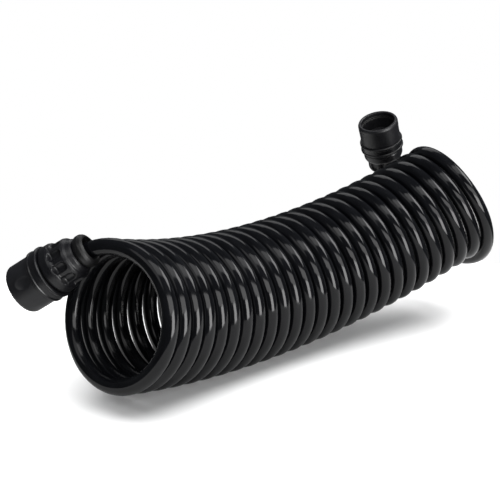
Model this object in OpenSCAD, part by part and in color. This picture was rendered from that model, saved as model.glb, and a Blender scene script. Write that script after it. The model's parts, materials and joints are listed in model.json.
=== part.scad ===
// Self-coiling hose with a swivel push-on cuff at each end.
// The coil lies on its belly and both of its ends curl up. Millimetres, +Z up.
// The origin is under the middle of the whole hose, on the surface that it lies on.

/* [Hose] */
// Outside diameter of the hose
hose_d = 12; // [11.6:0.1:12]
// Bore of the hose
hose_bore = 9; // [9:0.1:9.4]

/* [Coil] */
// Radius from the coil's axis to the middle of the hose
coil_r = 50; // [49:0.5:51]
// Distance from one turn to the next
pitch = 14.7; // [14.3:0.1:15]
// Turns that the hose makes before it leaves for the right-hand fitting
coil_turns = 25.4; // [25.3:0.05:25.5]
// Turns from the left end to the lowest part of the coil
mid_turn = 13.1; // [13:0.1:13.2]
// Radius that the coil's own axis is bent to
bend_radius = 395; // [390:5:420]
// How far the plane of that bend leans towards the front, in degrees
lean = 38; // [36:1:40]
// Slope of the coil's axis at its lowest part, in degrees
rise = 7; // [6:0.5:8]
// Where the first turn starts round the coil, in degrees
phase = -78; // [-80:1:-76]
// How far the hose's left end swings out from the coil, to clear the next turn
out_swing = 8.6; // [8.6:0.2:9.4]
// Turns over which it swings out
swing_turns = 0.4; // [0.36:0.02:0.42]
// Wall of the coil's plain solid, which gives it the real hose's weight
coil_wall = 3.4; // [3:0.1:4]

/* [Fitting] */
// Length of a whole fitting, from its bend bush to its mouth
fitting_l = 63.5; // [63:0.5:64.5]
// Outside radius of the cuff
cuff_r = 19; // [18.8:0.1:19.4]
// Radius of the socket in the cuff's mouth
socket_r = 15.9; // [15.8:0.05:16]
// Depth of that socket
socket_l = 17.5; // [17:0.5:17.5]
// Outside radius of the retaining collar
collar_r = 20.4; // [20:0.1:20.6]
// Largest radius of the clamp nut
nut_r = 18.7; // [18.5:0.1:19]
// Radius of the part of the nut that the fingers turn
grip_r = 16.1; // [16:0.1:16.4]
// Finger pockets round the clamp nut
nut_pockets = 10; // [8:1:10]
// Radius of the threaded boss under the clamp nut
boss_r = 11.8; // [11.7:0.05:11.8]

/* [Right-hand fitting] */
// Place of its hose end, from the lowest part of the coil's axis
right_x = 178.5; // [177:0.5:180]
// The same, across the coil
right_y = 64.5; // [64:0.5:66]
// The same, upwards
right_z = 60; // [58:0.5:62]
// How far its mouth leans back over the coil, in degrees
right_lean = 25; // [22:1:27]
// How far its mouth leans towards the front, in degrees
right_tip = 9; // [7:1:11]

/* [Hidden] */
$fn = 72;

hose_r = hose_d / 2;
bore_r = hose_bore / 2;
// The lowest part of the coil's axis, above the origin
seat = [14.44, 0.59, 59.65];
// Hose that runs straight before the right-hand fitting takes it
straight_run = 6;
// The left-hand end starts to curve this far up its fitting, inside the bush's bell mouth
curve_z = 11;
// How far the hose goes into a fitting
grip_depth = 26;
// How far the free stretches stay inside the straight ends, so that the two join cleanly
skin = 0.05;
// Gap between a turning piece and the piece that it turns on
run_gap = 0.06;
// Gap between pieces that only pass each other
pass_gap = 0.3;

// Heights of the pieces along a fitting: 0 is at its hose end, its mouth is at fitting_l
bush_l = 8.3;
bush_r = 12.6;
nut_z = 8.6;
collet_z = 11;
collet_l = 9;
boss_z = 21;
pocket_z = 18.9;
pocket_r = 3.6;
pocket_depth = 2;
skirt_z = 24;
nut_top = 33.4;
collar_z = 34.2;
lip_top = 36.6;
washer_t = 0.5;
flange_z = 37.45;
flange_top = 40.4;
collar_top = 43.5;
socket_z = fitting_l - socket_l;
dimple_z = 50.5;
dimple_w = 6.6;
dimple_t = 1.2;
// Where the thumb dimples stand round each cuff, in degrees
left_dimples = 105;
right_dimples = 110;
journal_r = 12;
neck_r = 17.2;
flange_r = 15.3;
nose_r = 12.5;
barb_r = bore_r - 0.05;
water_r = 3.2;

// ---- the hose's route ----

function roll(p) = [p.x, p.y * cos(lean) - p.z * sin(lean), p.y * sin(lean) + p.z * cos(lean)];
function tip(p) = [p.x * cos(rise) - p.z * sin(rise), p.y, p.x * sin(rise) + p.z * cos(rise)];
function place(p) = tip(roll(p)) + seat;
function unit(v) = v / norm(v);

function bend_angle(s) = s / bend_radius * 180 / PI;
function swing(t) = out_swing * pow(max(0, 1 - t / swing_turns), 2);
function axis_at(t) = pitch * (t - mid_turn) - swing(t);

// A point of the helix, t turns from its left end
function helix(t) =
    let (
        a = bend_angle(axis_at(t)),
        turn = phase + 360 * t,
        reach = bend_radius - coil_r * cos(turn)
    )
    place([reach * sin(a), -coil_r * sin(turn), bend_radius - reach * cos(a)]);
function heading(t) = unit(helix(t + 0.001) - helix(t - 0.001));

left_out = -heading(0);
left_base = helix(0) - curve_z * left_out;
right_out = unit([-sin(right_lean), -sin(right_tip), cos(right_lean)]);
right_base = seat + [right_x, right_y, right_z];

// The right-hand tail swings out behind the coil on one smooth curve, with leads of this length
right_lead = 90;
tail_start = helix(coil_turns);
tail_end = right_base - straight_run * right_out;
tail_route = [
    tail_start,
    tail_start + right_lead * heading(coil_turns),
    tail_end - right_lead * right_out,
    tail_end
];
function curve(p, u) =
    pow(1 - u, 3) * p[0] + 3 * pow(1 - u, 2) * u * p[1] + 3 * (1 - u) * u * u * p[2] + pow(u, 3) * p[3];

right_tail_points = concat(
    [for (i = [0 : 12]) curve(tail_route, i / 12)],
    [right_base + 1.5 * right_out]
);
// The left-hand tail is the whole first turn, because the coil's solid starts at the second
first_turn = 1;
left_tail_points = concat(
    [left_base + (curve_z - 1.5) * left_out, helix(0.02)],
    [for (t = [0.05 : 0.05 : first_turn + 0.01]) helix(t)]
);

// ---- shared shapes ----

// A plain round cord along points, with a ring of sides at each
module swept_cord(points, r, sides) {
    n = len(points);
    function along(i) = unit(points[min(i + 1, n - 1)] - points[max(i - 1, 0)]);
    function across(i) = unit(cross(along(i), [1, 0, 0]));
    function ring(i) = [
        for (k = [0 : sides - 1])
            let (a = 360 * k / sides)
            points[i] + r * (cos(a) * across(i) + sin(a) * cross(along(i), across(i)))
    ];
    polyhedron(
        points = [for (i = [0 : n - 1]) each ring(i)],
        faces = concat(
            [[for (k = [0 : sides - 1]) k]],
            [[for (k = [sides - 1 : -1 : 0]) (n - 1) * sides + k]],
            [
                for (i = [0 : n - 2], k = [0 : sides - 1], half = [0, 1])
                    let (
                        a = i * sides + k,
                        b = a + sides,
                        c = (i + 1) * sides + (k + 1) % sides,
                        d = c - sides
                    )
                    half == 0 ? [a, b, c] : [a, c, d]
            ]
        )
    );
}

// Stands a fitting's pieces, drawn up +Z from their hose end, on a base point
module stand(base, out) {
    translate(base) rotate([0, acos(out.z), atan2(out.y, out.x)]) children();
}
module on_left() {
    stand(left_base, left_out) children();
}
module on_right() {
    stand(right_base, right_out) children();
}

module ring_solid(z0, z1, r_in, r_out) {
    translate([0, 0, z0]) difference() {
        cylinder(h = z1 - z0, r = r_out);
        translate([0, 0, -1]) cylinder(h = z1 - z0 + 2, r = r_in);
    }
}

// ---- one fitting, piece by piece ----

// Outer sleeve: socket at the mouth, neck for the collar, two thumb dimples
module cuff_shape(dimple_turn) {
    ball_r = (dimple_w * dimple_w + dimple_t * dimple_t) / (2 * dimple_t);
    lip = 2.4;
    difference() {
        rotate_extrude() polygon([
            [flange_r + pass_gap, lip_top + 0.4],
            [neck_r - 0.05, lip_top + 0.4],
            [neck_r - 0.05, collar_top + 0.1],
            [cuff_r, collar_top + 0.1],
            [cuff_r, fitting_l - lip],
            [cuff_r - lip / 2, fitting_l],
            [socket_r + 0.6, fitting_l],
            [socket_r, fitting_l - 0.6],
            [socket_r, socket_z],
            [nose_r + run_gap, socket_z],
            [nose_r + run_gap, flange_top + 0.5],
            [flange_r + pass_gap, flange_top + 0.5]
        ]);
        translate([0, 0, fitting_l - 7]) rotate_extrude() polygon([
            [socket_r - 1, 0], [socket_r + 1.3, 0], [socket_r + 1.3, 3], [socket_r - 1, 3]
        ]);
        for (side = [0, 180])
            rotate([0, 0, dimple_turn + side])
                translate([cuff_r - dimple_t + ball_r, 0, dimple_z]) sphere(r = ball_r);
    }
}

// Soft ring in the groove near the mouth
module lip_seal_shape() {
    ring_solid(fitting_l - 6.95, fitting_l - 4.05, socket_r + 0.05, socket_r + 1.25);
}

// Raised ring that screws onto the cuff's neck and holds the spigot's flange in
module collar_shape() {
    rotate_extrude() polygon([
        [journal_r + run_gap, collar_z],
        [collar_r - 0.8, collar_z],
        [collar_r, collar_z + 0.8],
        [collar_r, collar_top - 0.8],
        [collar_r - 0.8, collar_top],
        [neck_r, collar_top],
        [neck_r, lip_top],
        [journal_r + run_gap, lip_top]
    ]);
}

// Slippery washer between the collar's lip and the spigot's flange
module washer_shape() {
    ring_solid(lip_top, lip_top + washer_t, journal_r + pass_gap, flange_r);
}

// Barb for the hose, threaded boss, journal, flange and nose, in one moulding
module spigot_shape() {
    rotate_extrude() polygon([
        [water_r, collet_z],
        [barb_r - 0.8, collet_z],
        [barb_r, collet_z + 3],
        [barb_r, grip_depth + 0.2],
        [hose_r + 0.1, grip_depth + 0.2],
        [hose_r + 0.1, boss_z],
        [boss_r, boss_z],
        [boss_r, collar_z - 0.5],
        [journal_r, collar_z - 0.5],
        [journal_r, flange_z],
        [flange_r, flange_z],
        [flange_r, flange_top],
        [nose_r, flange_top],
        [nose_r, flange_top + 1.9],
        [nose_r - 1.3, flange_top + 1.9],
        [nose_r - 1.3, flange_top + 3.5],
        [nose_r, flange_top + 3.5],
        [nose_r, socket_z - 0.3],
        [nose_r - 3.5, socket_z - 0.3],
        [water_r, socket_z - 6]
    ]);
}

// Round seal in the nose's groove, against the cuff's bore
module face_seal_shape() {
    translate([0, 0, flange_top + 2.7])
        rotate_extrude() translate([nose_r - 0.62, 0]) circle(r = 0.62, $fn = 24);
}

// Split cone that the nut squeezes onto the hose
module collet_shape() {
    slots = 6;
    difference() {
        rotate_extrude() polygon([
            [hose_r + 0.05, collet_z],
            [7.1, collet_z],
            [9, collet_z + collet_l],
            [hose_r + 0.05, collet_z + collet_l]
        ]);
        for (i = [0 : slots - 1])
            rotate([0, 0, 360 * i / slots])
                translate([hose_r - 1, -0.6, collet_z - 1]) cube([5, 1.2, collet_l - 1.5]);
    }
}

// Nut with pockets for the fingers and a wide skirt against the collar
module nut_shape() {
    difference() {
        rotate_extrude() polygon([
            [7.4, nut_z],
            [11.4, nut_z],
            [12.7, nut_z + 1],
            [13.9, nut_z + 3.8],
            [15.4, nut_z + 5],
            [grip_r, nut_z + 6.2],
            [grip_r + 0.1, skirt_z],
            [nut_r - 0.8, skirt_z + 1.4],
            [nut_r - 0.2, skirt_z + 2.6],
            [nut_r, nut_top - 1.6],
            [nut_r - 0.6, nut_top],
            [boss_r + run_gap, nut_top],
            [boss_r + run_gap, boss_z - 0.6],
            [9.35, boss_z - 0.6],
            [7.4, collet_z]
        ]);
        for (i = [0 : nut_pockets - 1])
            rotate([0, 0, 360 * (i + 0.5) / nut_pockets])
                translate([grip_r + pocket_r - pocket_depth, 0, pocket_z]) {
                    sphere(r = pocket_r);
                    cylinder(h = skirt_z - 0.4 - pocket_z, r = pocket_r);
                }
    }
}

// Bell-mouthed bush that keeps the hose from kinking where it leaves the nut
module bush_shape() {
    rotate_extrude() polygon([
        [9.1, 0],
        [9.6, 0],
        [11.2, 0.9],
        [12.3, 2.4],
        [bush_r, 4.4],
        [12.2, bush_l - 1.6],
        [11.2, bush_l],
        [6.9, bush_l],
        [7.7, 4],
        [8.4, 2]
    ]);
}

// Straight end of the hose over the barb, from height z
module hose_end_shape(z) {
    ring_solid(z, grip_depth, bore_r, hose_r);
}

// ---- nodes ----

module hose_coil() {
    from = axis_at(first_turn) - hose_r + 1.2;
    to = axis_at(coil_turns) - hose_r - 1.6;
    color("dimgray")
        translate(seat) rotate([lean, -rise, 0]) translate([0, 0, bend_radius])
            rotate([90, 0, 0]) rotate([0, 0, bend_angle(from) - 90])
                rotate_extrude(angle = bend_angle(to - from)) translate([bend_radius, 0]) difference() {
                    circle(r = coil_r + hose_r);
                    circle(r = coil_r + hose_r - coil_wall);
                }
}
module left_hose_tail() {
    color("dimgray") union() {
        on_left() hose_end_shape(curve_z - 2);
        swept_cord(left_tail_points, hose_r - skin, 12);
    }
}
module right_hose_tail() {
    color("dimgray") union() {
        on_right() hose_end_shape(0);
        swept_cord(right_tail_points, hose_r - skin, 12);
    }
}

module left_cuff() { color("#26272b") on_left() cuff_shape(left_dimples); }
module left_retaining_collar() { color("#1b1c1f") on_left() collar_shape(); }
module left_lip_seal() { color("#3a3a3a") on_left() lip_seal_shape(); }
module left_thrust_washer() { color("#c8c8c0") on_left() washer_shape(); }
module left_hose_spigot() { color("#303236") on_left() spigot_shape(); }
module left_face_seal() { color("#3a3a3a") on_left() face_seal_shape(); }
module left_grip_collet() { color("#d8d8d0") on_left() collet_shape(); }
module left_clamp_nut() { color("#222326") on_left() nut_shape(); }
module left_bend_bush() { color("#18191b") on_left() bush_shape(); }

module right_cuff() { color("#26272b") on_right() cuff_shape(right_dimples); }
module right_retaining_collar() { color("#1b1c1f") on_right() collar_shape(); }
module right_lip_seal() { color("#3a3a3a") on_right() lip_seal_shape(); }
module right_thrust_washer() { color("#c8c8c0") on_right() washer_shape(); }
module right_hose_spigot() { color("#303236") on_right() spigot_shape(); }
module right_face_seal() { color("#3a3a3a") on_right() face_seal_shape(); }
module right_grip_collet() { color("#d8d8d0") on_right() collet_shape(); }
module right_clamp_nut() { color("#222326") on_right() nut_shape(); }
module right_bend_bush() { color("#18191b") on_right() bush_shape(); }

hose_coil();
left_hose_tail();
right_hose_tail();
left_cuff();
left_retaining_collar();
left_lip_seal();
left_thrust_washer();
left_hose_spigot();
left_face_seal();
left_grip_collet();
left_clamp_nut();
left_bend_bush();
right_cuff();
right_retaining_collar();
right_lip_seal();
right_thrust_washer();
right_hose_spigot();
right_face_seal();
right_grip_collet();
right_clamp_nut();
right_bend_bush();
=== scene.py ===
"""Self-coiling vacuum hose with a swivel cuff at each end: its looks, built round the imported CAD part.

Metres, in the CAD's own frame. Outlines of the fittings are in millimetres and are scaled once, in lathe().
"""

import json
import math

import bpy
import numpy as np
from mathutils import Matrix, Vector


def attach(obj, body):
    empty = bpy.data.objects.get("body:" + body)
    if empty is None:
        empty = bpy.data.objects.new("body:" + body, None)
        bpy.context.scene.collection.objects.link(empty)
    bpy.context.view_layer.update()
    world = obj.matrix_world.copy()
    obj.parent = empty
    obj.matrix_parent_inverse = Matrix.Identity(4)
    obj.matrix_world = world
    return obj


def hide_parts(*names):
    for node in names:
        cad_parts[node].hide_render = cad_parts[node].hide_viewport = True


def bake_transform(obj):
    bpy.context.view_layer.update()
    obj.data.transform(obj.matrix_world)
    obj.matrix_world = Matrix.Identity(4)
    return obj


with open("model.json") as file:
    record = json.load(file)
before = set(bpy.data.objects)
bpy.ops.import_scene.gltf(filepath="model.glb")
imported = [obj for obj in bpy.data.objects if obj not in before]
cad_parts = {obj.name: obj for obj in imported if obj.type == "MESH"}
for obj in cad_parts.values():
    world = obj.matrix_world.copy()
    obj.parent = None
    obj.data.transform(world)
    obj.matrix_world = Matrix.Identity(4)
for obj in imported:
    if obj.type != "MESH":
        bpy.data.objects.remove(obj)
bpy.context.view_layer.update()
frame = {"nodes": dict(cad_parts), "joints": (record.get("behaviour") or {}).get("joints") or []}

MM = 0.001

# ---- the hose's route, as part.scad has it ----

HOSE_R = 6.0 * MM
BORE_R = 4.5 * MM
COIL_R = 50.0 * MM
PITCH = 14.7 * MM
COIL_TURNS = 25.4
MID_TURN = 13.1
BEND_RADIUS = 395.0 * MM
LEAN = math.radians(38)
RISE = math.radians(7)
PHASE = math.radians(-78)
OUT_SWING = 8.6 * MM
SWING_TURNS = 0.4
SEAT = np.array([14.44, 0.59, 59.65]) * MM
STRAIGHT_RUN = 6.0 * MM
CURVE_Z = 11.0 * MM
GRIP_DEPTH = 26.0 * MM
RIGHT_LEAD = 90.0 * MM

# ---- how finely the hose is drawn ----

RINGS_PER_TURN = 60
TAIL_RINGS = 44
OUTER_SIDES = 28
BORE_SIDES = 16
# Share of the hose, at each end, over which its stretch fades in
STRETCH_EASE = 0.06

# ---- camera, from the object's left end and above ----

CAMERA_PLACE = Vector((-0.48326, -0.59431, 0.29315))
CAMERA_LOOK = Vector((0.5867, 0.7673, -0.2588))
CAMERA_LENS = 68.7
CAMERA_SENSOR = 36.0


def unit(v):
    return v / np.linalg.norm(v, axis=-1, keepdims=True)


def joint(name):
    return next(j for j in frame["joints"] if j["name"] == name)


# ---------------------------------------------------------------- camera


def make_camera():
    camera = bpy.data.objects.new("camera", bpy.data.cameras.new("camera"))
    camera.data.sensor_width = CAMERA_SENSOR
    camera.data.lens = CAMERA_LENS
    camera.data.clip_start = 0.01
    camera.data.clip_end = 100
    camera.location = CAMERA_PLACE
    camera.rotation_mode = "QUATERNION"
    camera.rotation_quaternion = CAMERA_LOOK.to_track_quat("-Z", "Y")
    bpy.context.scene.collection.objects.link(camera)
    bpy.context.scene.camera = camera


# ---------------------------------------------------------------- route


def helix(turns):
    """Points of the coil, that many turns from its left end."""
    turns = np.asarray(turns, float)
    swing = OUT_SWING * np.maximum(0, 1 - turns / SWING_TURNS) ** 2
    bend = (PITCH * (turns - MID_TURN) - swing) / BEND_RADIUS
    turn = PHASE + 2 * math.pi * turns
    reach = BEND_RADIUS - COIL_R * np.cos(turn)
    x, y, z = reach * np.sin(bend), -COIL_R * np.sin(turn), BEND_RADIUS - reach * np.cos(bend)
    y, z = y * math.cos(LEAN) - z * math.sin(LEAN), y * math.sin(LEAN) + z * math.cos(LEAN)
    x, z = x * math.cos(RISE) - z * math.sin(RISE), x * math.sin(RISE) + z * math.cos(RISE)
    return np.stack([x, y, z], axis=-1) + SEAT


def heading(turns):
    return unit(helix(turns + 0.001) - helix(turns - 0.001))


def bezier(p, steps):
    u = np.linspace(0, 1, steps)[:, None]
    return (1 - u) ** 3 * p[0] + 3 * (1 - u) ** 2 * u * p[1] + 3 * (1 - u) * u * u * p[2] + u**3 * p[3]


def fitting_frame(side):
    """Where a fitting's hose end is, and which way the fitting points, from its swivel joint."""
    swivel = joint(f"{side}_cuff_swivel")
    out = np.array(swivel["axis"], float)
    return np.array(swivel["pos_m"], float) - 50 * MM * out, out


def hose_route():
    """The hose's centreline from inside the left fitting to inside the right one, and each point's share of the
    stretch."""
    left_base, left_out = fitting_frame("left")
    right_base, right_out = fitting_frame("right")
    left_depths = np.linspace(GRIP_DEPTH, CURVE_Z, 6, endpoint=False)[:, None]
    turns = np.linspace(0, COIL_TURNS, round(COIL_TURNS * RINGS_PER_TURN) + 1)
    tail_end = right_base - STRAIGHT_RUN * right_out
    start = helix(COIL_TURNS)
    tail = bezier(
        [start, start + RIGHT_LEAD * heading(COIL_TURNS), tail_end - RIGHT_LEAD * right_out, tail_end],
        TAIL_RINGS,
    )[1:]
    right_depths = np.linspace(-STRAIGHT_RUN, GRIP_DEPTH, 9)[1:, None]
    parts = [left_base + left_depths * left_out, helix(turns), tail, right_base + right_depths * right_out]
    share = np.concatenate(
        [np.zeros(len(parts[0])), eased(turns / COIL_TURNS), np.ones(len(parts[2]) + len(parts[3]))]
    )
    return np.concatenate(parts), share


def eased(x):
    """0 to 1 as x goes from 0 to 1: a straight line that fades in and out over STRETCH_EASE at its ends."""
    e = STRETCH_EASE
    low, middle, high = x * x / (2 * e), x - e / 2, 1 - e - (1 - x) ** 2 / (2 * e)
    return np.where(x < e, low, np.where(x > 1 - e, high, middle)) / (1 - e)


def swept_axes(points):
    """Two directions across the hose at each point, carried along it without twist."""
    along = unit(np.gradient(points, axis=0))
    first = unit(np.cross(along[0], [0, 0, 1.0]))
    across = [first]
    for way in along[1:]:
        kept = across[-1] - way * np.dot(across[-1], way)
        across.append(kept / np.linalg.norm(kept))
    across = np.array(across)
    return across, np.cross(along, across)


# ---------------------------------------------------------------- meshes


def mesh_object(name, points, faces, material, smooth=True):
    mesh = bpy.data.meshes.new(name)
    mesh.from_pydata([tuple(p) for p in points], [], faces)
    mesh.polygons.foreach_set("use_smooth", [smooth] * len(mesh.polygons))
    mesh.materials.append(material)
    piece = bpy.data.objects.new(name, mesh)
    bpy.context.scene.collection.objects.link(piece)
    return piece


def loop_faces(rows, sides, start=0, flip=False):
    """Quads between rows of sides points each."""
    faces = []
    for i in range(rows - 1):
        for k in range(sides):
            a, b = start + i * sides + k, start + i * sides + (k + 1) % sides
            quad = (a, b, b + sides, a + sides)
            faces.append(quad[::-1] if flip else quad)
    return faces


def bridge(outer, outer_sides, inner, inner_sides, flip):
    """The flat ring at a hose's cut end, between the loop of its outside and the loop of its bore."""
    faces = []
    i = j = 0
    while i < outer_sides or j < inner_sides:
        a, b = outer + i % outer_sides, inner + j % inner_sides
        if j == inner_sides or (i < outer_sides and (i + 1) / outer_sides <= (j + 1) / inner_sides):
            face = (a, outer + (i + 1) % outer_sides, b)
            i += 1
        else:
            face = (a, inner + (j + 1) % inner_sides, b)
            j += 1
        faces.append(face[::-1] if flip else face)
    return faces


def make_hose(material):
    """One hollow tube from barb to barb. The coordinates of the straight hose are kept on it as "extruded"."""
    route, share = hose_route()
    across, up = swept_axes(route)
    run = np.concatenate([[0], np.cumsum(np.linalg.norm(np.diff(route, axis=0), axis=1))])
    rows = len(route)
    points, extruded = [], []
    for radius, sides in ((HOSE_R, OUTER_SIDES), (BORE_R, BORE_SIDES)):
        angle = np.linspace(0, 2 * math.pi, sides, endpoint=False)
        ring = np.cos(angle)[None, :, None] * across[:, None] + np.sin(angle)[None, :, None] * up[:, None]
        points.append((route[:, None] + radius * ring).reshape(-1, 3))
        x, y = radius * np.cos(angle), radius * np.sin(angle)
        straight = np.stack(np.broadcast_arrays(x, y, run[:, None]), -1)
        extruded.append(straight.reshape(-1, 3))
    bore_start = rows * OUTER_SIDES
    faces = loop_faces(rows, OUTER_SIDES) + loop_faces(rows, BORE_SIDES, bore_start, flip=True)
    faces += bridge(0, OUTER_SIDES, bore_start, BORE_SIDES, flip=True)
    last_outer, last_bore = (rows - 1) * OUTER_SIDES, bore_start + (rows - 1) * BORE_SIDES
    faces += bridge(last_outer, OUTER_SIDES, last_bore, BORE_SIDES, flip=False)
    hose = mesh_object("hose", np.concatenate(points), faces, material)
    attribute = hose.data.attributes.new("extruded", "FLOAT_VECTOR", "POINT")
    attribute.data.foreach_set("vector", np.concatenate(extruded).astype(np.float32).ravel())
    stretch = np.concatenate([np.repeat(share, OUTER_SIDES), np.repeat(share, BORE_SIDES)])
    return hose, route, stretch


def blend_hose(hose):
    """Bakes the hose's placing into its mesh."""
    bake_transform(hose)


def rounded(outline, steps=5):
    """A closed outline of (radius, height, fillet) corners as points, with an arc at each corner with a fillet."""
    corners = [np.array(c[:2], float) for c in outline]
    points = []
    for i, corner in enumerate(corners):
        fillet = outline[i][2]
        before, after = corners[i - 1] - corner, corners[(i + 1) % len(corners)] - corner
        a, b = before / np.linalg.norm(before), after / np.linalg.norm(after)
        half = math.acos(max(-1.0, min(1.0, float(a @ b)))) / 2
        if fillet <= 0 or half > math.radians(88):
            points.append(corner)
            continue
        room = 0.49 * min(np.linalg.norm(before), np.linalg.norm(after))
        reach = min(fillet / math.tan(half), room)
        radius = reach * math.tan(half)
        centre = corner + (a + b) / np.linalg.norm(a + b) * radius / math.sin(half)
        start, end = corner + a * reach - centre, corner + b * reach - centre
        sweep = math.pi - 2 * half
        for k in range(steps + 1):
            u = k / steps
            mixed = start * math.sin((1 - u) * sweep) + end * math.sin(u * sweep)
            points.append(centre + mixed / math.sin(sweep))
    return points


def divided(points, low, high, step):
    """The outline with its long edges between two heights divided, where a surface is going to be dented."""
    made = []
    for i, a in enumerate(points):
        b = points[(i + 1) % len(points)]
        made.append(a)
        inside = low <= min(a[1], b[1]) and max(a[1], b[1]) <= high
        pieces = math.ceil(np.linalg.norm(b - a) / step) if inside else 1
        made += [a + (b - a) * k / pieces for k in range(1, pieces)]
    return made


def lathe(name, outline, side, material, sides=120, dent=None):
    """A turned piece of a fitting, drawn up +Z from the hose end in millimetres, then stood in its place.
    dent(radius, height, angle) gives a surface's new radius."""
    loop = np.array(outline)
    rows = len(loop)
    angle = np.linspace(0, 2 * math.pi, sides, endpoint=False)
    radius = np.repeat(loop[:, :1], sides, axis=1)
    height = np.repeat(loop[:, 1:], sides, axis=1)
    turned = np.repeat(angle[None], rows, axis=0)
    if dent:
        radius = dent(radius, height, turned)
    points = np.stack([radius * np.cos(turned), radius * np.sin(turned), height], -1).reshape(-1, 3) * MM
    faces = loop_faces(rows, sides)
    last = (rows - 1) * sides
    faces += [(last + k, last + (k + 1) % sides, (k + 1) % sides, k) for k in range(sides)]
    piece = mesh_object(name, points, faces, material)
    base, out = fitting_frame(side)
    stand = (
        Matrix.Translation(Vector(base))
        @ Matrix.Rotation(math.atan2(out[1], out[0]), 4, "Z")
        @ Matrix.Rotation(math.acos(out[2]), 4, "Y")
    )
    piece.data.transform(stand)
    piece.modifiers.new("even_shading", "WEIGHTED_NORMAL")
    return piece


def soft_min(a, b, width):
    """The smaller of a and b, with the crease between them rounded over about that width."""
    h = np.clip(0.5 + 0.5 * (b - a) / width, 0, 1)
    return b * (1 - h) + a * h - width * h * (1 - h)


def ball_cut(radius, height, angle, ball_place, ball_height, ball_r, ball_angle):
    """Radius at which a ball set beside the piece cuts it, or a large number where it doesn't."""
    off = angle - ball_angle
    gap = np.maximum(0, ball_r**2 - (height - ball_height) ** 2)
    inside = gap - (ball_place * np.sin(off)) ** 2
    cut = ball_place * np.cos(off) - np.sqrt(np.maximum(inside, 0))
    return np.where((inside > 0) & (np.cos(off) > 0), cut, 1e3)


# ---------------------------------------------------------------- the fittings' pieces

CUFF_R = 19.0
CUFF_TOP = 43.6
# Height at which the rounding of the cuff's mouth starts
MOUTH_ROUNDING = 61.2
DENT_STEP = 0.5
DIMPLE_Z = 50.5
DIMPLE_W = 6.6
# Deeper than the 1.2 of the CAD, so that they show in soft light
DIMPLE_T = 1.6
DIMPLE_EDGE = 0.15
DIMPLE_TURN = {"left": math.radians(105), "right": math.radians(110)}


def make_cuff(side, material):
    """Outer sleeve with a rounded lip, a seal groove and two thumb dimples."""
    outline = rounded(
        [
            (15.6, 37.0, 0.1), (17.15, 37.0, 0.2), (17.15, CUFF_TOP, 0.1), (CUFF_R, CUFF_TOP, 0.6),
            (CUFF_R, 61.5, 2.2), (18.0, 63.5, 1.1), (16.7, 63.5, 0.6), (15.9, 62.7, 0.5),
            (15.9, 59.5, 0.1), (17.2, 59.5, 0.1), (17.2, 56.5, 0.1), (15.9, 56.5, 0.1),
            (15.9, 46.0, 0.4), (12.56, 46.0, 0.3), (12.56, 40.9, 0.1), (15.6, 40.9, 0.1),
        ]
    )
    ball_r = (DIMPLE_W**2 + DIMPLE_T**2) / (2 * DIMPLE_T)
    ball_place = CUFF_R - DIMPLE_T + ball_r

    def dimples(radius, height, angle):
        dented = radius
        for turn in (0, math.pi):
            cut = ball_cut(radius, height, angle, ball_place, DIMPLE_Z, ball_r, DIMPLE_TURN[side] + turn)
            dented = soft_min(dented, cut, DIMPLE_EDGE)
        return np.where(radius > CUFF_R - 1, dented, radius)

    outline = divided(outline, CUFF_TOP + 0.5, MOUTH_ROUNDING, DENT_STEP)
    return lathe(f"{side}_cuff_sleeve", outline, side, material, 240, dimples)


def make_collar(side, material):
    """Band that holds the spigot in: a bead at each edge and a shallow waist between."""
    outline = rounded(
        [
            (12.06, 34.2, 0.1), (19.3, 34.2, 0.3), (20.4, 34.8, 0.5), (20.4, 36.2, 0.4),
            (19.8, 36.9, 0.4), (19.8, 40.8, 0.4), (20.4, 41.5, 0.4), (20.4, 42.9, 0.5),
            (19.3, 43.5, 0.3), (17.2, 43.5, 0.1), (17.2, 36.6, 0.2), (12.06, 36.6, 0.1),
        ]
    )
    return lathe(f"{side}_collar_band", outline, side, material, 144)


def make_lip_seal(side, material):
    """Soft ring with two lips, in the groove near the mouth."""
    outline = rounded(
        [
            (17.15, 56.6, 0.2), (17.15, 59.4, 0.2), (16.0, 59.4, 0.3), (15.72, 58.8, 0.2),
            (16.1, 58.0, 0.3), (15.72, 57.2, 0.2), (16.0, 56.6, 0.3),
        ],
        3,
    )[::-1]
    return lathe(f"{side}_lip_ring", outline, side, material, 120)


NUT_POCKETS = 10
# A little wider and deeper than the CAD's pockets, so that they show in soft light
POCKET_R = 4.2
POCKET_PLACE = 17.9
POCKET_Z = 18.9
POCKET_END = 24.2
POCKET_EDGE = 0.4
POCKET_STEP = 0.4
# Heights between which the nut's outside is divided for them
POCKET_SPAN = (12.4, 27)


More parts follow.
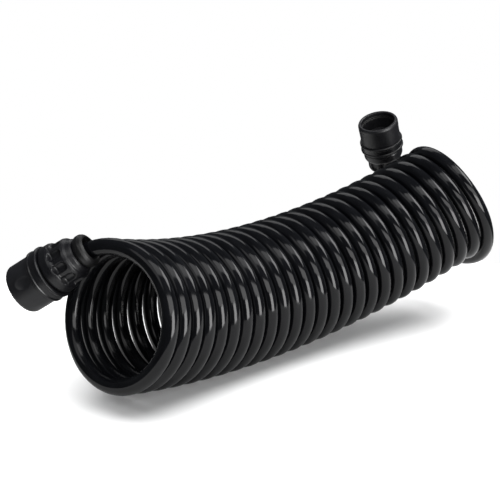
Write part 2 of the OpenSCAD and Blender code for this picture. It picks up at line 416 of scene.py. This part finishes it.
def make_nut(side, material):
    """Clamp nut: rounded grip with finger pockets, and a wide skirt against the collar."""
    outline = rounded(
        [
            (7.4, 8.6, 0.2), (11.4, 8.6, 0.5), (12.7, 9.6, 0.8), (13.9, 12.4, 1.0),
            (15.4, 13.5, 0.8), (16.1, 15.2, 1.0), (16.2, 24.0, 0.8), (17.9, 25.2, 0.8),
            (18.6, 27.0, 0.9), (18.7, 31.8, 0.8), (18.1, 33.4, 0.4), (11.86, 33.4, 0.1),
            (11.86, 20.4, 0.1), (9.35, 20.4, 0.1), (7.4, 11.0, 0.2),
        ]
    )

    def pockets(radius, height, angle):
        dented = radius
        # Below POCKET_Z the cutter is a ball and above it a bar, which ends in the skirt
        level = np.where(height < POCKET_Z, height, np.where(height < POCKET_END, POCKET_Z, height))
        level = np.where(height >= POCKET_END, POCKET_Z + (height - POCKET_END) * 3, level)
        for i in range(NUT_POCKETS):
            turn = 2 * math.pi * (i + 0.5) / NUT_POCKETS
            cut = ball_cut(radius, level, angle, POCKET_PLACE, POCKET_Z, POCKET_R, turn)
            dented = soft_min(dented, cut, POCKET_EDGE)
        return np.where(radius > 13, np.minimum(dented, radius), radius)

    outline = divided(outline, *POCKET_SPAN, POCKET_STEP)
    return lathe(f"{side}_nut_body", outline, side, material, 360, pockets)


def make_bush(side, material):
    """Soft bead that the hose comes out of, bell-mouthed inside."""
    outline = rounded(
        [
            (9.0, 0.0, 0.4), (10.0, 0.0, 0.8), (11.6, 1.0, 1.2), (12.6, 3.0, 1.6),
            (12.6, 5.6, 1.6), (11.6, 7.6, 0.8), (11.0, 8.3, 0.4), (6.9, 8.3, 0.3),
            (7.6, 4.4, 1.0), (8.3, 2.2, 1.0),
        ]
    )
    return lathe(f"{side}_bend_bead", outline, side, material, 120)


# ---------------------------------------------------------------- materials


def node_material(name):
    material = bpy.data.materials.new(name)
    material.use_nodes = True
    tree = material.node_tree
    return material, tree, tree.nodes["Principled BSDF"]


def noise(tree, coordinates, scale, detail=2.0, stretch=(1, 1, 1)):
    mapping = tree.nodes.new("ShaderNodeMapping")
    mapping.inputs["Scale"].default_value = stretch
    tree.links.new(coordinates, mapping.inputs["Vector"])
    made = tree.nodes.new("ShaderNodeTexNoise")
    made.inputs["Scale"].default_value = scale
    made.inputs["Detail"].default_value = detail
    tree.links.new(mapping.outputs["Vector"], made.inputs["Vector"])
    return made.outputs["Fac"]


def ramp(tree, value, low, high, out_low, out_high):
    """value from low..high carried to out_low..out_high, as a number."""
    made = tree.nodes.new("ShaderNodeMapRange")
    for socket, number in (("From Min", low), ("From Max", high), ("To Min", out_low), ("To Max", out_high)):
        made.inputs[socket].default_value = number
    tree.links.new(value, made.inputs["Value"])
    return made.outputs["Result"]


def two_colours(tree, value, dark, light):
    made = tree.nodes.new("ShaderNodeValToRGB")
    made.color_ramp.elements[0].position = 0.35
    made.color_ramp.elements[1].position = 0.65
    made.color_ramp.elements[0].color = (*dark, 1)
    made.color_ramp.elements[1].color = (*light, 1)
    tree.links.new(value, made.inputs["Fac"])
    return made.outputs["Color"]


def bump(tree, height, distance, strength=1.0, before=None):
    made = tree.nodes.new("ShaderNodeBump")
    made.inputs["Strength"].default_value = strength
    made.inputs["Distance"].default_value = distance
    tree.links.new(height, made.inputs["Height"])
    if before:
        tree.links.new(before, made.inputs["Normal"])
    return made.outputs["Normal"]


def hose_material():
    """Glossy black tube: faint lines along it from the extrusion, a slight unevenness, and patches of dulling."""
    material, tree, shader = node_material("glossy_black_hose")
    place = tree.nodes.new("ShaderNodeAttribute")
    place.attribute_name = "extruded"
    place = place.outputs["Vector"]
    lines = noise(tree, place, 1.0, 3.0, (900, 900, 6))
    waves = noise(tree, place, 1.0, 1.0, (60, 60, 45))
    haze = noise(tree, place, 1.0, 4.0, (160, 160, 50))
    black = two_colours(tree, haze, (0.0015, 0.0016, 0.0021), (0.0032, 0.0034, 0.0042))
    tree.links.new(black, shader.inputs["Base Color"])
    tree.links.new(ramp(tree, haze, 0.3, 0.7, 0.07, 0.15), shader.inputs["Roughness"])
    uneven = bump(tree, waves, 0.12 * MM)
    tree.links.new(bump(tree, lines, 0.01 * MM, before=uneven), shader.inputs["Normal"])
    shader.inputs["IOR"].default_value = 1.4
    return material


def moulded_material(name, dark, light, rough, grain=0.03, grain_scale=2600):
    """Moulded plastic or rubber: fine spark-eroded grain, slight flow marks, and uneven sheen."""
    material, tree, shader = node_material(name)
    place = tree.nodes.new("ShaderNodeTexCoord").outputs["Object"]
    flow = noise(tree, place, 70, 3.0)
    handling = noise(tree, place, 190, 5.0)
    fine = noise(tree, place, grain_scale, 2.0)
    tree.links.new(two_colours(tree, flow, dark, light), shader.inputs["Base Color"])
    tree.links.new(ramp(tree, handling, 0.3, 0.7, *rough), shader.inputs["Roughness"])
    soft = bump(tree, flow, 0.08 * MM)
    tree.links.new(bump(tree, fine, grain * MM, before=soft), shader.inputs["Normal"])
    return material


# Slot: name, its darker and lighter colour, and its lowest and highest roughness
MOULDED = {
    "cuff_plastic": ("satin_black_cuff", (0.0045, 0.0045, 0.0055), (0.0075, 0.0075, 0.009), (0.36, 0.46)),
    "collar_plastic": ("satin_black_collar", (0.003, 0.003, 0.0035), (0.005, 0.005, 0.006), (0.26, 0.36)),
    "nut_plastic": ("satin_black_nut", (0.003, 0.003, 0.004), (0.0055, 0.0055, 0.0065), (0.27, 0.36)),
    "bush_rubber": ("black_bush_rubber", (0.003, 0.003, 0.003), (0.005, 0.005, 0.0055), (0.32, 0.45)),
    "spigot_plastic": ("dark_grey_spigot", (0.020, 0.020, 0.022), (0.030, 0.030, 0.033), (0.42, 0.55)),
    "seal_rubber": ("black_seal_rubber", (0.008, 0.008, 0.008), (0.013, 0.013, 0.013), (0.5, 0.65)),
    "washer_plastic": ("natural_washer", (0.62, 0.62, 0.57), (0.74, 0.74, 0.70), (0.3, 0.4)),
    "collet_plastic": ("natural_collet", (0.55, 0.55, 0.50), (0.68, 0.68, 0.63), (0.35, 0.5)),
}


def make_materials():
    made = {"hose": hose_material()}
    for slot, look in MOULDED.items():
        made[slot] = moulded_material(*look)
    return made


# ---------------------------------------------------------------- studio


TABLE_R = 0.37
TABLE_SIDES = 96
TABLE_RINGS = 12
# How light the table looks to the gloss and to the light that it returns
TABLE_TONE = (0.42, 0.42, 0.42, 1)


def make_floor():
    """A plain round white table, no wider than it has to be, so that the gloss also shows what is beyond it."""
    sides, rings = TABLE_SIDES, TABLE_RINGS
    points, faces = [(0, 0, 0)], []
    for i in range(1, rings + 1):
        r = TABLE_R * (i / rings) ** 2
        turns = [2 * math.pi * k / sides for k in range(sides)]
        points += [(r * math.cos(turn), r * math.sin(turn), 0) for turn in turns]
    faces += [(0, 1 + k, 1 + (k + 1) % sides) for k in range(sides)]
    faces += loop_faces(rings, sides, 1, flip=True)
    material, tree, shader = node_material("white_table")
    place = tree.nodes.new("ShaderNodeTexCoord").outputs["Object"]
    mottle = noise(tree, place, 3, 3.0)
    white = two_colours(tree, mottle, (0.90, 0.90, 0.90), (0.93, 0.93, 0.93))
    tree.links.new(white, shader.inputs["Base Color"])
    shader.inputs["Roughness"].default_value = 0.9
    # The table is lit to an even white, so what the gloss shows of it is toned down
    toned = tree.nodes.new("ShaderNodeBsdfDiffuse")
    toned.inputs["Color"].default_value = TABLE_TONE
    path = tree.nodes.new("ShaderNodeLightPath")
    mix = tree.nodes.new("ShaderNodeMixShader")
    tree.links.new(path.outputs["Is Camera Ray"], mix.inputs["Fac"])
    tree.links.new(toned.outputs["BSDF"], mix.inputs[1])
    tree.links.new(shader.outputs["BSDF"], mix.inputs[2])
    tree.links.new(mix.outputs["Shader"], tree.nodes["Material Output"].inputs["Surface"])
    mesh_object("table", points, faces, material, smooth=False)


def make_world():
    """White behind everything, but a dim studio for the gloss to reflect."""
    world = bpy.data.worlds.new("studio")
    bpy.context.scene.world = world
    world.use_nodes = True
    tree = world.node_tree
    seen = tree.nodes["Background"]
    seen.inputs["Color"].default_value = (1, 1, 1, 1)
    dim = tree.nodes.new("ShaderNodeBackground")
    dim.inputs["Color"].default_value = (0.9, 0.95, 1, 1)
    dim.inputs["Strength"].default_value = 0.08
    mix = tree.nodes.new("ShaderNodeMixShader")
    path = tree.nodes.new("ShaderNodeLightPath")
    tree.links.new(path.outputs["Is Camera Ray"], mix.inputs["Fac"])
    tree.links.new(dim.outputs["Background"], mix.inputs[1])
    tree.links.new(seen.outputs["Background"], mix.inputs[2])
    tree.links.new(mix.outputs["Shader"], tree.nodes["World Output"].inputs["Surface"])


def softbox(name, azimuth, elevation, distance, width, height, brightness, mirrored=True):
    """A rectangular light that faces the middle of the object. brightness is how bright its face looks, and
    mirrored says whether gloss shows it."""
    light = bpy.data.lights.new(name, "AREA")
    light.shape = "RECTANGLE"
    light.size, light.size_y = width, height
    light.energy = brightness * math.pi * width * height
    lamp = bpy.data.objects.new(name, light)
    a, e = math.radians(azimuth), math.radians(elevation)
    back = Vector((math.sin(a) * math.cos(e), -math.cos(a) * math.cos(e), math.sin(e)))
    middle = Vector(SEAT)
    lamp.location = middle + back * distance
    lamp.rotation_mode = "QUATERNION"
    lamp.rotation_quaternion = (-back).to_track_quat("-Z", "Y")
    lamp.visible_camera = False
    lamp.visible_glossy = mirrored
    bpy.context.scene.collection.objects.link(lamp)


# Azimuth (0 is the front, 90 the right) and elevation in degrees, distance, width, height, and brightness
SOFTBOXES = {
    "front_softbox": (5, 1, 1.5, 0.95, 0.75, 8.5),
    "upper_front_softbox": (-5, 25, 1.5, 1.7, 0.5, 3.0),
    "left_softbox": (-72, 42, 1.5, 0.9, 0.6, 0.9),
    "right_softbox": (60, 45, 1.5, 0.8, 0.6, 5.2),
    "top_softbox": (0, 68, 1.5, 1.6, 0.5, 1.9),
    "back_softbox": (150, 45, 1.5, 1.2, 0.7, 0.9),
}
# Lights the table evenly, and shows in no gloss
TABLE_SOFTBOX = (0, 88, 1.6, 2.6, 2.6, 3.4)


def make_lights():
    for name, place in SOFTBOXES.items():
        softbox(name, *place)
    softbox("table_softbox", *TABLE_SOFTBOX, mirrored=False)


# ---------------------------------------------------------------- making it

BUILT_PIECES = {
    "cuff": (make_cuff, "cuff_plastic", "cuff_body"),
    "retaining_collar": (make_collar, "collar_plastic", "cuff_body"),
    "lip_seal": (make_lip_seal, "seal_rubber", "cuff_body"),
    "clamp_nut": (make_nut, "nut_plastic", "nut_body"),
    "bend_bush": (make_bush, "bush_rubber", "bush_body"),
}
KEPT_NODES = {
    "thrust_washer": "washer_plastic",
    "hose_spigot": "spigot_plastic",
    "face_seal": "seal_rubber",
    "grip_collet": "collet_plastic",
}


def make_fitting(side, materials):
    """All of one fitting's pieces: the outer ones built here, and the inner ones with a better material."""
    pieces = []
    for part, (make, slot, body) in BUILT_PIECES.items():
        piece = make(side, materials[slot])
        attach(piece, f"{side}_{body}")
        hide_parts(f"{side}_{part}")
        pieces.append(piece)
    for part, slot in KEPT_NODES.items():
        node = frame["nodes"][f"{side}_{part}"]
        node.data.materials.clear()
        node.data.materials.append(materials[slot])
        pieces.append(node)
    return pieces


def main():
    make_camera()
    materials = make_materials()
    hose, route, stretch = make_hose(materials["hose"])
    blend_hose(hose)
    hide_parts("hose_coil", "left_hose_tail", "right_hose_tail")
    make_fitting("left", materials)
    right_pieces = make_fitting("right", materials)
    make_floor()
    make_world()
    make_lights()
    bpy.context.scene.view_settings.view_transform = "Standard"


main()
